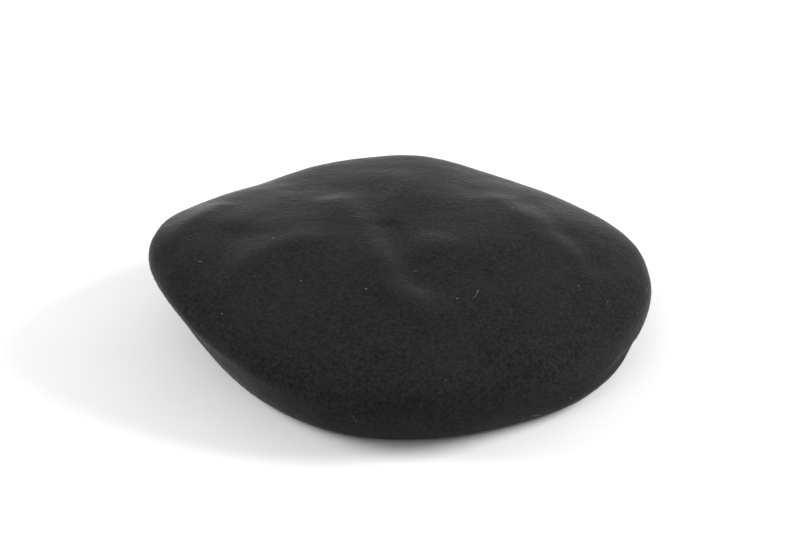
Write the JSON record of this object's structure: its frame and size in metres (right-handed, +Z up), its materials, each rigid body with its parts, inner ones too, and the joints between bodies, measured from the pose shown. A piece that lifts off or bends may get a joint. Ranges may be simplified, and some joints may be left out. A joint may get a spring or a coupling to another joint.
{
  "type": "beret",
  "caption": "Soft wool-felt beret with a rolled rim and low dome, an oval head opening with a leather sweatband and bow, and a loose satin lining with a hinged label.",
  "frame": {"origin": "on the table, under the middle of the crown", "axes": "+Z up through the dome; the wearer's brow faces -Y; the bow and the joins are at the back, +Y; +X is the wearer's left"},
  "size_m": [0.2864, 0.2859, 0.0721],
  "materials": {
    "wool_felt": "near-black fulled wool felt with a short dense nap",
    "cotton_tape": "black cotton tape",
    "sweatband_leather": "thin dark brown sweatband leather",
    "sewing_thread": "black polyester thread",
    "bow_ribbon": "black grosgrain ribbon",
    "satin_lining": "black satin",
    "patch_leather": "thin brown leather, blank",
    "label_tape": "blank woven off-white label tape"
  },
  "bodies": {
    "beret": {"felt_crown": "wool_felt", "stay_tape": "cotton_tape", "edge_welt": "sweatband_leather", "sweatband": "sweatband_leather", "sweatband_join_tape": "cotton_tape", "sweatband_join_stitches": "sewing_thread", "bow_loops": "bow_ribbon", "bow_knot": "bow_ribbon", "bow_stitches": "sewing_thread", "lining_side": "satin_lining", "lining_back_seam": "satin_lining", "lining_tip": "satin_lining", "lining_centre_tack": "sewing_thread", "lining_patch": "patch_leather", "size_tab": "label_tape", "size_tab_stitches": "sewing_thread", "care_label_hem": "label_tape", "care_label_stitches": "sewing_thread"},
    "care_label": {"care_label": "label_tape"},
    "tail_left": {"bow_tail_left": "bow_ribbon"},
    "tail_right": {"bow_tail_right": "bow_ribbon"}
  },
  "joints": [
    {"name": "label_flip", "type": "hinge", "parent": "beret", "child": "care_label", "pos_m": [0, 0.068, 0.0397], "axis": [1, 0, 0], "range_deg": [0, 120]},
    {"name": "tail_left_lift", "type": "hinge", "parent": "beret", "child": "tail_left", "pos_m": [-0.0028, 0.0959, 0.0132], "axis": [-0.866, 0, 0.5], "range_deg": [0, 70]},
    {"name": "tail_right_lift", "type": "hinge", "parent": "beret", "child": "tail_right", "pos_m": [0.0028, 0.0959, 0.0132], "axis": [-0.866, 0, -0.5], "range_deg": [0, 70]}
  ]
}
